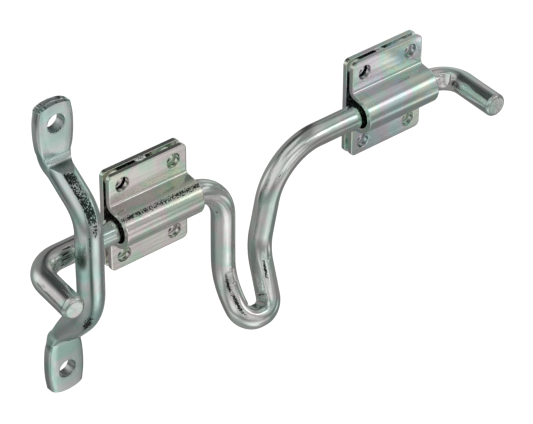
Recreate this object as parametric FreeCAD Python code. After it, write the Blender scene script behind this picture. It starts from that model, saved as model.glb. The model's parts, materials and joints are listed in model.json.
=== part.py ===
import FreeCAD, Part
import math
import os

# A sliding bolt latch for a gate or stable door: one round bar bent into a bolt, a U grip and
# two end legs, running in two strap brackets, with a keeper of heavier bar beside them.
# Millimetres. +X runs along the bolt from the keeper to the end leg, +Z is up, and -Y points
# away from the mounting surface. The origin is on that surface, in the middle of the left
# bracket's four holes.

Vec = FreeCAD.Vector
os.makedirs("parts", exist_ok=True)

# strap brackets
sheet_t = 2.8            # strap and back plate are pressed from the same sheet
sheet_gap = 2.3          # daylight between a strap's flanges and its back plate
plate_w = 48.0           # along the bolt
plate_h = 56.5
plate_corner_r = 3.0
sheet_edge_r = 0.5       # tumbled edges
hole_pitch_x = 31.6
hole_pitch_z = 41.9
hole_d = 8.0
hole_rim = 0.4           # rolled edge of the front holes
saddle_side_clear = 1.05  # saddle's radius beyond the bar's
saddle_front_clear = 2.35
saddle_lean = 8.0        # degrees, each saddle wall towards its flange
saddle_foot_r = 2.0      # hollow bend between saddle wall and flange
bracket_pitch = 157.5
tack_w = 5.0             # tack weld that bridges the gap at the top edge
tack_h = 2.2
tack_shift = 2.0         # towards the left bracket's left edge

# bolt bar
bar_d = 12.7
seat_clear = 0.3         # between the bar and the saddle's lower wall, which carries it
back_clear = 1.5         # between the bar and the back plate
tip_chamfer = 1.6
hook_reach = 48.8        # bend of the left leg, beyond the left bracket's edge
hook_leg = 39.2
hook_lean = 6.0          # degrees past square
hook_bend_r = 16.3
end_reach = 16.7         # bend of the right leg, beyond the right bracket's edge
end_leg = 40.0
end_lean = 4.0
end_bend_r = 12.7
u_reach = 20.6           # first leg of the U, beyond the left bracket's edge
u_bend_r = 22.0
u_drop = 63.9            # bolt line down to the knee of the first leg
knee_angle = 45.0        # the grip stands off the door from here down
knee_r = 34.7
grip_flat = 0.7          # straight between knee and turn
grip_turn_r = 8.5
grip_w = 17.7            # between the grip's leg centres
return_step = 5.6        # the return leg spreads by this much up to its knee
return_drop = 52.6
return_knee_r = 32.0
sweep_lean = 11.5        # the return leg spreads by this much more up to the bolt line
sweep_r = 33.6

# keeper
keeper_d = 14.0
keeper_reach = 28.05     # beyond the left bracket's edge
keeper_clear = 4.6       # between the bolt bar and the back of the bow
flat_t = 6.4
flat_waist_w = 18.4      # at the bend
flat_belly_w = 21.4      # at the hole
flat_tip_w = 19.0
flat_edge_r = 1.7
flat_arch = 2.4          # rise of the sheared end
keeper_hole_d = 9.8
top_hole_end = 8.4       # hole centre to the end's corners
bottom_hole_end = 10.6
top_hole_z = 71.9        # top hole, from the bolt line
keeper_hole_span = 146.0
top_bend_drop = 21.8     # below the top hole
bow_top_drop = 40.3
bow_bottom_rise = 48.5   # above the bottom hole
bottom_bend_rise = 21.0
flat_bend_r = 9.4
bow_top_r = 19.5
bow_bottom_r = 33.4
squeeze_len = 11.0       # bar drawn out from flat to round

# derived sizes
bar_r = bar_d / 2
keeper_r = keeper_d / 2
saddle_in_r = bar_r + saddle_side_clear
saddle_out_r = saddle_in_r + sheet_t
plate_front_y = -sheet_t
flange_back_y = plate_front_y - sheet_gap
flange_front_y = flange_back_y - sheet_t
bar_y = plate_front_y - back_clear - bar_r
saddle_y = bar_y - bar_r - saddle_front_clear + saddle_in_r
lean = math.radians(saddle_lean)


def seat_drop():
    """How far the bolt line lies below the brackets' middle, so that the bar rests near the
    saddle's lower wall: a straight wall that leaves the round nose at saddle_lean."""
    off_centre = bar_y - saddle_y
    wall = saddle_in_r + off_centre * math.sin(lean)
    return (wall - bar_r - seat_clear) / math.cos(lean)


bar_z = -seat_drop()
left_edge = -plate_w / 2
right_edge = plate_w / 2
far_edge = bracket_pitch + plate_w / 2


def unit(v):
    return v * (1.0 / v.Length)


def corner(before, point, after, radius):
    """Start, middle and end of the arc that rounds a corner between two straight runs."""
    u = unit(before - point)
    v = unit(after - point)
    half = u.getAngle(v) / 2
    cut = radius / math.tan(half)
    to_centre = unit(u + v)
    centre = point + to_centre * (radius / math.sin(half))
    return point + u * cut, centre - to_centre * radius, point + v * cut


def rounded_path(points, radii):
    """Straight edges joined by tangent arcs, one radius for each inner point."""
    edges = []
    here = points[0]
    for before, point, after, radius in zip(points, points[1:], points[2:], radii):
        start, middle, end = corner(before, point, after, radius)
        if (start - here).Length > 1e-6:
            edges.append(Part.LineSegment(here, start).toShape())
        edges.append(Part.Arc(start, middle, end).toShape())
        here = end
    edges.append(Part.LineSegment(here, points[-1]).toShape())
    return edges


def swept_bar(points, radii, radius):
    """A round bar along a path of straight runs and bends."""
    path = Part.Wire(rounded_path(points, radii))
    ring = Part.Wire(Part.makeCircle(radius, points[0], points[1] - points[0]))
    return path.makePipeShell([ring], True, True)


def chamfered_tip(end, direction, radius, chamfer):
    """The last few millimetres of a bar, with a turned chamfer."""
    body = Part.makeCylinder(radius, 2 * chamfer, end - direction * (3 * chamfer), direction)
    cone = Part.makeCone(radius, radius - chamfer, chamfer, end - direction * chamfer, direction)
    return body.fuse(cone)


def bolt_points():
    """Corner points and bend radii of the bolt bar, from the left leg's end to the right's."""
    hook = Vec(left_edge - hook_reach, bar_y, bar_z)
    hook_way = Vec(-math.sin(math.radians(hook_lean)), -math.cos(math.radians(hook_lean)), 0)
    u_top = Vec(right_edge + u_reach, bar_y, bar_z)
    knee = u_top + Vec(0, 0, -u_drop)
    tilt = math.radians(knee_angle)
    grip_len = knee_r * math.tan(tilt / 2) + grip_turn_r + grip_flat
    grip = knee + Vec(0, -math.sin(tilt), -math.cos(tilt)) * grip_len
    turn = grip + Vec(grip_w, 0, 0)
    back_knee = Vec(turn.x + return_step, bar_y, bar_z - return_drop)
    rise = Vec(back_knee.x + sweep_lean, bar_y, bar_z)
    end = Vec(far_edge + end_reach, bar_y, bar_z)
    end_way = Vec(-math.sin(math.radians(end_lean)), -math.cos(math.radians(end_lean)), 0)
    points = [hook + hook_way * hook_leg, hook, u_top, knee, grip, turn, back_knee, rise, end,
              end + end_way * end_leg]
    radii = [hook_bend_r, u_bend_r, knee_r, grip_turn_r, grip_turn_r, return_knee_r, sweep_r,
             end_bend_r]
    return points, radii


def make_bolt():
    points, radii = bolt_points()
    ways = [unit(points[0] - points[1]), unit(points[-1] - points[-2])]
    tips = [points[0], points[-1]]
    points[0] = tips[0] - ways[0] * (2 * tip_chamfer)
    points[-1] = tips[1] - ways[1] * (2 * tip_chamfer)
    bolt = swept_bar(points, radii, bar_r)
    for tip, way in zip(tips, ways):
        bolt = bolt.fuse(chamfered_tip(tip, way, bar_r, tip_chamfer))
    return bolt.removeSplitter()


def saddle_side(radius, face_y, foot_r, side):
    """One side of a strap's outline, from the flange's end to the saddle's nose: the flange's
    face, the rounded foot and the leaning wall. side is 1 for the top, -1 for the bottom."""
    nose = Vec(0, saddle_y - radius * math.sin(lean), side * radius * math.cos(lean))
    foot_z = side * (nose.z * side + (face_y - nose.y) * math.tan(lean))
    foot = Vec(0, face_y, foot_z)
    flange_end = Vec(0, face_y, side * plate_h / 2)
    start, middle, end = corner(flange_end, foot, nose, foot_r)
    return flange_end, start, middle, end, nose


def strap_profile():
    """A strap's section: two flanges and a saddle over the bar, one sheet thick."""
    edges = []
    loops = []
    for radius, face_y, foot_r in ((saddle_out_r, flange_front_y, saddle_foot_r),
                                   (saddle_in_r, flange_back_y, saddle_foot_r + sheet_t)):
        top = saddle_side(radius, face_y, foot_r, 1)
        bottom = saddle_side(radius, face_y, foot_r, -1)
        edges.append(Part.LineSegment(top[0], top[1]).toShape())
        edges.append(Part.Arc(top[1], top[2], top[3]).toShape())
        edges.append(Part.LineSegment(top[3], top[4]).toShape())
        edges.append(Part.Arc(top[4], Vec(0, saddle_y - radius, 0), bottom[4]).toShape())
        edges.append(Part.LineSegment(bottom[4], bottom[3]).toShape())
        edges.append(Part.Arc(bottom[3], bottom[2], bottom[1]).toShape())
        edges.append(Part.LineSegment(bottom[1], bottom[0]).toShape())
        loops.append((top[0], bottom[0]))
    for outer, inner in zip(loops[0], loops[1]):
        edges.append(Part.LineSegment(outer, inner).toShape())
    return Part.Wire(Part.__sortEdges__(edges))


def hole_centres(centre_x):
    return [Vec(centre_x + sx * hole_pitch_x / 2, 0, sz * hole_pitch_z / 2)
            for sx in (-1, 1) for sz in (-1, 1)]


def cut_holes(shape, centre_x, front_y):
    """Four screw holes, with a small rolled rim at the front."""
    for at in hole_centres(centre_x):
        start = Vec(at.x, front_y - hole_rim, at.z)
        shape = shape.cut(Part.makeCylinder(hole_d / 2, plate_h, start, Vec(0, 1, 0)))
        rim = Part.makeCone(hole_d / 2 + hole_rim, hole_d / 2, hole_rim,
                            Vec(at.x, front_y, at.z), Vec(0, 1, 0))
        shape = shape.cut(rim)
    return shape


def rounded_outline(centre_x):
    """The bracket's outline as a solid through the whole depth, with its corners rounded."""
    depth = 4 * saddle_out_r
    block = Part.makeBox(plate_w, depth, plate_h,
                         Vec(centre_x - plate_w / 2, -depth / 2 + saddle_y, -plate_h / 2))
    upright = [e for e in block.Edges if abs(e.tangentAt(0).y) > 0.99]
    return block.makeFillet(plate_corner_r, upright)


def tumble(sheet, centre_x):
    """Round the edges along a sheet's outline, as tumbling does, front and back."""
    def on_outline(edge):
        middle = edge.BoundBox.Center
        straight_through = abs(edge.tangentAt(edge.FirstParameter).y) > 0.99
        beside = abs(middle.x - centre_x) > plate_w / 2 - plate_corner_r
        beyond = abs(middle.z) > plate_h / 2 - plate_corner_r
        thin_seam = straight_through and edge.Length < 1.5 * sheet_t
        return (beside or beyond) and not thin_seam

    return sheet.makeFillet(sheet_edge_r, [e for e in sheet.Edges if on_outline(e)])


def make_strap(centre_x):
    start = Vec(centre_x - plate_w / 2, 0, 0)
    profile = strap_profile().translated(start)
    strap = Part.Face(profile).extrude(Vec(plate_w, 0, 0))
    strap = strap.common(rounded_outline(centre_x))
    return cut_holes(tumble(strap, centre_x), centre_x, flange_front_y)


def make_back_plate(centre_x):
    slab = Part.makeBox(plate_w, sheet_t, plate_h,
                        Vec(centre_x - plate_w / 2, -sheet_t, -plate_h / 2))
    plate = tumble(slab.common(rounded_outline(centre_x)), centre_x)
    return cut_holes(plate, centre_x, plate_front_y)


def make_tack(centre_x):
    """A bead of weld that fills the gap between strap and back plate at their top edges."""
    low = Vec(centre_x - tack_shift - tack_w / 2, flange_back_y,
              plate_h / 2 - sheet_edge_r - tack_h)
    bead = Part.makeBox(tack_w, sheet_gap, tack_h, low)
    ends = [e for e in bead.Edges if abs(e.tangentAt(0).y) > 0.99]
    return bead.makeFillet(tack_h / 3, ends)


def keeper_frame():
    """Places on the keeper's centre line, in the plane that it is bent in."""
    x = left_edge - keeper_reach
    flat_y = -flat_t / 2
    bow_y = bar_y - bar_r - keeper_clear - keeper_r
    return x, flat_y, bow_y


def flat_section(centre, along, width):
    """Rounded oblong, flat_t thick and width wide along X, square to the direction along."""
    across = along.cross(Vec(1, 0, 0))
    half_w = width / 2
    half_t = flat_t / 2
    crown = flat_edge_r
    left = Vec(-1, 0, 0)
    right = Vec(1, 0, 0)
    a = centre + left * (half_w - crown) + across * half_t
    b = centre + right * (half_w - crown) + across * half_t
    c = centre + right * (half_w - crown) - across * half_t
    d = centre + left * (half_w - crown) - across * half_t
    return Part.Wire([Part.LineSegment(a, b).toShape(),
                      Part.Arc(b, centre + right * half_w, c).toShape(),
                      Part.LineSegment(c, d).toShape(),
                      Part.Arc(d, centre + left * half_w, a).toShape()])


def round_section(centre, along):
    """The bar's circle, split where the oblong's corners are, so that a loft pairs them."""
    across = along.cross(Vec(1, 0, 0))
    share = math.radians(52)
    spots = [centre + Vec(1, 0, 0) * (keeper_r * math.sin(a)) + across * (keeper_r * math.cos(a))
             for a in (-share, 0, share, math.pi / 2, math.pi - share, math.pi,
                       math.pi + share, 3 * math.pi / 2)]
    ring = spots + [spots[0]]
    return Part.Wire([Part.Arc(ring[i], ring[i + 1], ring[i + 2]).toShape()
                      for i in (0, 2, 4, 6)])


def make_foot(side, hole_z, hole_end, to_bend, to_bow):
    """A flattened foot of the keeper with its bend and the stretch where flat turns to round.
    side is 1 for the top foot and -1 for the bottom one, and to_bend and to_bow are distances
    from its hole. Also gives the points where the round bar goes on and where it turns."""
    x, flat_y, bow_y = keeper_frame()
    bend = Vec(x, flat_y, hole_z - side * to_bend)
    bow = Vec(x, bow_y, hole_z - side * to_bow)
    outward = Vec(0, 0, side)
    start, middle, end = corner(bend + outward, bend, bow, flat_bend_r)
    inward = unit(bow - bend)
    plate = make_foot_plate(x, start.z, hole_z, hole_end, side)
    spine = Part.Wire([Part.Arc(start, middle, end).toShape()])
    elbow = spine.makePipeShell([flat_section(start, outward, flat_waist_w)], True, True)
    neck_end = end + inward * squeeze_len
    neck = Part.makeLoft([flat_section(end, inward, flat_waist_w),
                          round_section(neck_end, inward)], True, False)
    return plate.fuse(elbow).fuse(neck), neck_end, bow


def make_foot_plate(x, bend_z, hole_z, hole_end, side):
    """The flat itself: waist at the bend, belly at the hole, arched sheared end."""
    outward = Vec(0, 0, side)
    into_door = Vec(0, 1, 0)
    crest_z = hole_z + side * (hole_end + flat_arch)
    rows = ((flat_waist_w, bend_z), (flat_belly_w, hole_z), (flat_tip_w, crest_z))
    plate = Part.makeLoft([flat_section(Vec(x, -flat_t / 2, z), outward, w) for w, z in rows],
                          True, False)
    arch_r = (flat_tip_w ** 2 / 4 + flat_arch ** 2) / (2 * flat_arch)
    front_y = -2 * flat_t
    depth = 3 * flat_t
    arch_z = crest_z - side * arch_r
    disc = Part.makeCylinder(arch_r, depth, Vec(x, front_y, arch_z), into_door)
    below = Part.makeBox(2 * arch_r, depth, abs(arch_z - bend_z),
                         Vec(x - arch_r, front_y, min(arch_z, bend_z)))
    hole = Part.makeCylinder(keeper_hole_d / 2, depth, Vec(x, front_y, hole_z), into_door)
    return plate.common(disc.fuse(below)).cut(hole)


def make_keeper():
    top_z = bar_z + top_hole_z
    bottom_z = top_z - keeper_hole_span
    top, top_start, bow_top = make_foot(1, top_z, top_hole_end, top_bend_drop, bow_top_drop)
    bottom, bottom_start, bow_bottom = make_foot(-1, bottom_z, bottom_hole_end, bottom_bend_rise,
                                                 bow_bottom_rise)
    bow = swept_bar([top_start, bow_top, bow_bottom, bottom_start], [bow_top_r, bow_bottom_r],
                    keeper_r)
    return bow.fuse(top).fuse(bottom).removeSplitter()


def save(name, shape):
    solid = shape.Solids[0]
    print(name, "solids", len(shape.Solids), "valid", shape.isValid(),
          "volume mm3", round(solid.Volume, 1))
    shape.exportStep("parts/" + name + ".step")


print("bolt line at y", round(bar_y, 3), "z", round(bar_z, 3))
save("bolt_bar", make_bolt())
save("keeper", make_keeper())
for side_name, middle_x in (("left", 0.0), ("right", bracket_pitch)):
    save(side_name + "_strap", make_strap(middle_x))
    save(side_name + "_back_plate", make_back_plate(middle_x))
    save(side_name + "_tack_weld", make_tack(middle_x))
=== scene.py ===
# %% [markdown]
# # A sliding bolt latch in bright zinc
#
# The latch is a round steel bar bent into a bolt with a U grip, a heavier bar bent into a keeper, and two
# brackets, each a pressed strap tacked to a flat plate behind it. All of it is plated with zinc, so every
# surface is bare, shiny metal. Metal has no colour of its own to hide behind: what we see is the
# room, bent by the shape. So this lesson spends its effort on two things, the exact shape of the bends and
# press marks, and a studio whose bright and dark areas are where the metal needs them.

# %% Tools and the fixed frame
import json
import math

import bmesh
import bpy
import numpy as np
from mathutils import Matrix, Vector, noise


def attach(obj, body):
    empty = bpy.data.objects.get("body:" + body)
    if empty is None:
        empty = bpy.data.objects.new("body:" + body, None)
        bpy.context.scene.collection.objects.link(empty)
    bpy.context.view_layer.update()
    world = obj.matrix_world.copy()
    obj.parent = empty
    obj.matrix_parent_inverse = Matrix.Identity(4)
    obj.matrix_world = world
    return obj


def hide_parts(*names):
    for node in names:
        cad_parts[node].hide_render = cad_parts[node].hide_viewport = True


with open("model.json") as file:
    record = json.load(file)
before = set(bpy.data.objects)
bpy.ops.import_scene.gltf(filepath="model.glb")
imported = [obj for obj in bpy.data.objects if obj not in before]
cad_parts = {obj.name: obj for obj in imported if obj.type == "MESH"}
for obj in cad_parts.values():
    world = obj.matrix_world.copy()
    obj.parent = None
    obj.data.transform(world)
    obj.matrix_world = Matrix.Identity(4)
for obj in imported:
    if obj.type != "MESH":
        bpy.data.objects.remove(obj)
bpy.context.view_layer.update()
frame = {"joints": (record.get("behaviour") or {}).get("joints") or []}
MM = 0.001

# %% [markdown]
# ## Where the camera stands
#
# The picture was taken with a long lens, from the left of the latch and well above it. A long lens keeps
# parallel edges nearly parallel. The place and the three angles are written down as numbers, and the
# camera's matrix is built from them, because a tracking constraint could not hold the slight roll.

# %% Camera
PICTURE_WIDE = 533
LENS_PIXELS = 2800.0          # focal length, in pixels of the picture
SENSOR = 36.0
CAMERA_PLACE = Vector((-683.24, -899.72, 793.14)) * MM
CAMERA_HEADING = math.radians(40.4)
CAMERA_DIP = math.radians(35.33)
CAMERA_ROLL = math.radians(0.29)


def heading(azimuth, elevation):
    """Unit vector; azimuth 0 is +Y and grows towards +X, both in radians."""
    flat = math.cos(elevation)
    return Vector((math.sin(azimuth) * flat, math.cos(azimuth) * flat, math.sin(elevation)))


def make_camera():
    data = bpy.data.cameras.new("camera")
    data.sensor_width = SENSOR
    data.lens = SENSOR * LENS_PIXELS / PICTURE_WIDE
    data.clip_start = 0.01
    data.clip_end = 20
    camera = bpy.data.objects.new("camera", data)
    bpy.context.scene.collection.objects.link(camera)
    forward = heading(CAMERA_HEADING, -CAMERA_DIP)
    right = forward.cross(Vector((0, 0, 1))).normalized()
    up = right.cross(forward)
    turned_right = right * math.cos(CAMERA_ROLL) + up * math.sin(CAMERA_ROLL)
    turned_up = up * math.cos(CAMERA_ROLL) - right * math.sin(CAMERA_ROLL)
    turn = Matrix((turned_right, turned_up, -forward)).transposed()
    camera.matrix_world = Matrix.Translation(CAMERA_PLACE) @ turn.to_4x4()
    bpy.context.scene.camera = camera
    return camera


camera = make_camera()
bpy.context.scene.view_settings.view_transform = "Standard"
print("lens", round(camera.data.lens, 1), "mm")

# %% [markdown]
# ## Helpers for materials
#
# Colours are easiest to pick as hex values off a swatch, but the renderer works in linear light, so one
# function turns the first into the second. A second small function adds any node with its settings and
# links. With it a material reads like a recipe, from the pattern to the shader.

# %% Colour and node helpers


def tone(hex_colour):
    """An sRGB hex colour as linear RGBA."""
    parts = [int(hex_colour[i:i + 2], 16) / 255 for i in (1, 3, 5)]
    return [c / 12.92 if c <= 0.04045 else ((c + 0.055) / 1.055) ** 2.4 for c in parts] + [1.0]


def add(tree, kind, inputs=None, **settings):
    """One shader node: settings are its properties, inputs its sockets by name or number. An input that
    is a socket is linked, and any other value is set."""
    node = tree.nodes.new("ShaderNode" + kind)
    for name, value in settings.items():
        setattr(node, name, value)
    for key, value in (inputs or {}).items():
        if isinstance(value, bpy.types.NodeSocket):
            tree.links.new(value, node.inputs[key])
        else:
            node.inputs[key].default_value = value
    return node


def noise_map(tree, where, size_mm, detail):
    """Soft noise from 0 to 1, with lumps about size_mm across."""
    made = add(tree, "TexNoise", {"Vector": where, "Scale": 1 / (size_mm * MM), "Detail": detail})
    return made.outputs["Fac"]


def empty_tree(holder):
    holder.use_nodes = True
    holder.node_tree.nodes.clear()
    return holder.node_tree


print("the grey #808080 is", round(tone("#808080")[0], 3), "in linear light")

# %% [markdown]
# ## A white studio, and the tent round the latch
#
# The latch stands in front of plain white. The world and the floor are white to the camera, and to rays
# that have bounced off metal, so the zinc shows the same white that we see behind it.
#
# A chrome-like part in an all-white room looks like flat grey plastic. Photographers hang a dark cloth
# tent round such parts and leave openings in it. Here the tent is a ball of dark cloth that only mirror
# reflections can see. Each patch below makes an area of the cloth more open or more closed. Where it is
# fully open, the metal sees the white room.

# %% World, floor and lamps
FLOOR_Z = -0.62
ROOM_DIM, FLOOR_GLOW = 0.6, 0.5      # the room as it lights matt things, and the floor's own light
TENT_RADIUS = 0.5
TENT_MIDDLE = Vector((0.06, -0.02, 0.0))


def sees_background(tree):
    """1 for rays that should find the white background: from the eye, off metal or through glass."""
    path = add(tree, "LightPath")
    either = add(tree, "Math",
                 {0: path.outputs["Is Camera Ray"], 1: path.outputs["Is Glossy Ray"]}, operation="MAXIMUM")
    return add(tree, "Math",
               {0: either.outputs[0], 1: path.outputs["Is Transmission Ray"]},
               operation="MAXIMUM").outputs[0]


def light_world():
    world = bpy.data.worlds.new("white room")
    bpy.context.scene.world = world
    tree = empty_tree(world)
    strength = add(tree, "MapRange", {"Value": sees_background(tree), "To Min": ROOM_DIM, "To Max": 1.0})
    back = add(tree, "Background", {"Color": tone("#FFFFFF"), "Strength": strength.outputs[0]})
    add(tree, "OutputWorld", {"Surface": back.outputs[0]})


def make_floor():
    bpy.ops.mesh.primitive_plane_add(size=12, location=(0, 0, FLOOR_Z))
    floor = bpy.context.object
    floor.name = "floor"
    paint = bpy.data.materials.new("matt white paper")
    tree = empty_tree(paint)
    paper = add(tree, "BsdfDiffuse", {"Color": tone("#F4F4F2")})
    glow = add(tree, "MapRange", {"Value": sees_background(tree), "To Min": 0.0, "To Max": FLOOR_GLOW})
    lift = add(tree, "Emission", {"Color": tone("#FFFFFF"), "Strength": glow.outputs[0]})
    both = add(tree, "AddShader", {0: paper.outputs[0], 1: lift.outputs[0]})
    add(tree, "OutputMaterial", {"Surface": both.outputs[0]})
    floor.data.materials.append(paint)


def add_lamp(name, azimuth, elevation, distance, size, power):
    """A square softbox that faces the latch. power is in watts."""
    data = bpy.data.lights.new(name, "AREA")
    data.shape = "SQUARE"
    data.size = size
    data.energy = power
    lamp = bpy.data.objects.new(name, data)
    bpy.context.scene.collection.objects.link(lamp)
    toward = heading(math.radians(azimuth), math.radians(elevation))
    lamp.location = TENT_MIDDLE + toward * distance
    lamp.rotation_euler = toward.to_track_quat("Z", "Y").to_euler()


light_world()
make_floor()
add_lamp("right softbox", 139, 29, 1.4, 0.4, 0.4)
add_lamp("top softbox", -60, 70, 1.8, 1.2, 6.0)
print("floor at", FLOOR_Z, "m, below a tent of", TENT_RADIUS, "m radius")

# %% Tent
# azimuth, elevation, half width, half height in degrees, how far the cloth is open there, and the share of
# the patch over which it fades
PATCHES = (
    ("low back", -10, -46, 60, 22, 0.15, 0.6),
    ("low left", -106, -34, 44, 30, 0.36, 0.7),
    ("low right", 100, -46, 40, 28, 0.19, 0.6),
    ("left wall", -112, 28, 56, 42, 0.84, 0.6),
    ("low left gap", -98, -26, 50, 12, 0.60, 0.8),
    ("table edge", 180, -40, 62, 34, 0.98, 1.0),
    ("before the flats", 130, -40, 12, 13, 0.20, 0.6),
    ("beside the right flats", 124, -24, 13, 9, 0.90, 0.8),
    ("right shade", 141, -15, 13, 15, 0.22, 0.7),
    ("right wall", 141, 14, 26, 19, 0.62, 0.9),
    ("right window", 139, 29, 15, 10, 0.98, 0.7),
    ("front window", -177, 15, 28, 23, 0.93, 0.6),
    ("overhead front", -170, 52, 33, 16, 0.88, 0.7),
    ("beside the keeper's flats", 163, -6, 13, 12, 0.88, 0.7),
    ("below the left flanges", 151, -47, 14, 9, 0.30, 0.7),
    ("behind the keeper's slope", 87, 27, 14, 15, 0.80, 0.6),
    ("far window", 118, 26, 15, 11, 0.95, 0.7),
    ("window for the keeper", 153, 36, 10, 9, 0.98, 0.7),
    ("high right", 100, 52, 38, 15, 0.52, 0.6),
    ("high flag", 6, 48, 50, 15, 0.03, 0.6),
    ("back flag", 32, 18, 10, 38, 0.04, 0.7),
    ("back right panel", 57, 12, 17, 26, 0.52, 0.6),
    ("left panel", -44, 9, 25, 36, 0.88, 0.9),
    ("back left flag", -60, -8, 18, 14, 0.08, 0.7),
)
TENT_BASE = 0.26


def make_tent():
    bpy.ops.mesh.primitive_uv_sphere_add(segments=64, ring_count=32, radius=1, location=TENT_MIDDLE)
    tent = bpy.context.object
    tent.name = "tent"
    tent.scale = (TENT_RADIUS,) * 3
    for ray in ("camera", "diffuse", "transmission", "volume_scatter", "shadow"):
        setattr(tent, "visible_" + ray, False)
    cloth = bpy.data.materials.new("dark tent cloth")
    tree = empty_tree(cloth)
    place = add(tree, "TexCoord").outputs["Object"]
    level = None
    for name, azimuth, elevation, wide, high, open_share, fade in PATCHES:
        # a round gradient, squeezed to the patch's half sizes and set on the ball at its middle
        toward = heading(math.radians(azimuth), math.radians(elevation))
        local = add(tree, "Mapping",
                    {"Vector": place, "Location": toward,
                     "Rotation": toward.to_track_quat("Z", "Y").to_euler(),
                     "Scale": (math.sin(math.radians(wide)), math.sin(math.radians(high)), 1.0)},
                    vector_type="TEXTURE", label=name)
        ball = add(tree, "TexGradient", {"Vector": local.outputs[0]}, gradient_type="SPHERICAL")
        mask = add(tree, "MapRange",
                   {"Value": ball.outputs["Fac"], "From Min": 0.0, "From Max": fade},
                   interpolation_type="SMOOTHSTEP")
        level = add(tree, "Mix",
                    {"Factor": mask.outputs[0], "A": level.outputs[0] if level else TENT_BASE,
                     "B": open_share})
    shade = add(tree, "Emission", {"Color": tone("#202224"), "Strength": 1.0})
    gap = add(tree, "BsdfTransparent")
    mixed = add(tree, "MixShader", {0: level.outputs[0], 1: shade.outputs[0], 2: gap.outputs[0]})
    add(tree, "OutputMaterial", {"Surface": mixed.outputs[0]})
    tent.data.materials.append(cloth)


make_tent()
print("studio with", len(PATCHES), "patches in the tent")

# %% [markdown]
# ## Bars as rings along a route
#
# Both bars were bent cold from straight stock. Their centre line is straight runs joined by round arcs, so
# the route is worked out from its corner points and bend radii, as a bender would set them. A curve object
# with a round bevel would make the same tube. It would have no place to press a dent or flatten a facet,
# though. So the bar is a skin over rings of points, and each point knows how far along and how far round
# the bar it is. That place is kept on the mesh, and the material reads it for streaks that follow the bends.

# %% Routes and rings


def unit(v):
    return v / np.linalg.norm(v)


def bend_route(points, radii, step):
    """Points along straight runs and tangent arcs, about one step apart."""
    path = [points[0]]

    def run_to(end):
        start = path[-1]
        count = max(1, round(np.linalg.norm(end - start) / step))
        path.extend(start + (end - start) * i / count for i in range(1, count + 1))

    for before, point, after, radius in zip(points, points[1:], points[2:], radii):
        back = unit(before - point)
        on = unit(after - point)
        half = math.acos(np.clip(back @ on, -1, 1)) / 2
        centre = point + unit(back + on) * radius / math.sin(half)
        start = point + back * radius / math.tan(half)
        run_to(start)
        out = unit(start - centre)
        turn = math.pi - 2 * half
        count = max(2, round(radius * turn / step))
        for angle in (turn * i / count for i in range(1, count + 1)):
            path.append(centre + radius * (out * math.cos(angle) - back * math.sin(angle)))
    run_to(points[-1])
    return np.array(path)


def carry_frames(path, first_up):
    """Tangent, up and side at each point, turned as little as possible from one to the next."""
    tangents = np.gradient(path, axis=0)
    tangents /= np.linalg.norm(tangents, axis=1)[:, None]
    ups = [unit(first_up - tangents[0] * (tangents[0] @ first_up))]
    for tangent in tangents[1:]:
        ups.append(unit(ups[-1] - tangent * (tangent @ ups[-1])))
    return tangents, np.array(ups), np.cross(tangents, np.array(ups))


def distance_along(path):
    return np.concatenate(([0.0], np.cumsum(np.linalg.norm(np.diff(path, axis=0), axis=1))))


def ramp(low, high, value):
    """0 below low, 1 above high, and a straight line between them."""
    return np.clip((value - low) / (high - low), 0, 1)


def smooth(low, high, value):
    """0 below low, 1 above high, and an even S between them."""
    share = ramp(low, high, value)
    return share * share * (3 - 2 * share)


def bell(distance, half):
    """1 at distance 0, falling to 0 at half."""
    return 1 - smooth(0, half, np.abs(distance))


def round_gap(angles, middle):
    """Angles from a middle angle, the short way round, in radians."""
    return (angles - math.radians(middle) + math.pi) % (2 * math.pi) - math.pi


def grain(points, size):
    """Soft noise from -1 to 1 at each point, with lumps about size across."""
    flat = points.reshape(-1, 3) / size
    return np.array([noise.noise(p) for p in flat]).reshape(points.shape[:-1]) * 2


def spot_on_bar(along, angles, bar_r, place, angle, half_long, half_wide):
    """1 in the middle of a spot on a bar, falling to 0 at its half sizes in mm."""
    return bell(along - place, half_long) * bell(round_gap(angles, angle) * bar_r, half_wide)


corner = np.array(((0.0, 0, 0), (20, 0, 0), (20, 20, 0)))
print("a square bend of radius 10 between 10 mm legs is",
      round(distance_along(bend_route(corner, [10.0], 0.5))[-1], 1), "mm long")

# %% [markdown]
# ## From rings to a mesh
#
# Every bar and sheet of this latch can be wound from rings: a bar's rings stand across its route, a strap's
# rings stand across the bolt, and a flat plate's rings run round its outline. So one function makes them
# all. It keeps named facts at each point, and it marks edges that turn sharply, so that shading breaks there.
# Screw holes are cut with a boolean, by a tool whose end flares as a rolled hole rim does.

# %% Skins and holes
SHARP = math.radians(32)
HOLE_AROUND = 56                     # points in a ring of a hole
FLARE_ANGLES = (75, 50, 25, 0)       # degrees round a rolled rim, from the sheet's face into the hole


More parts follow.
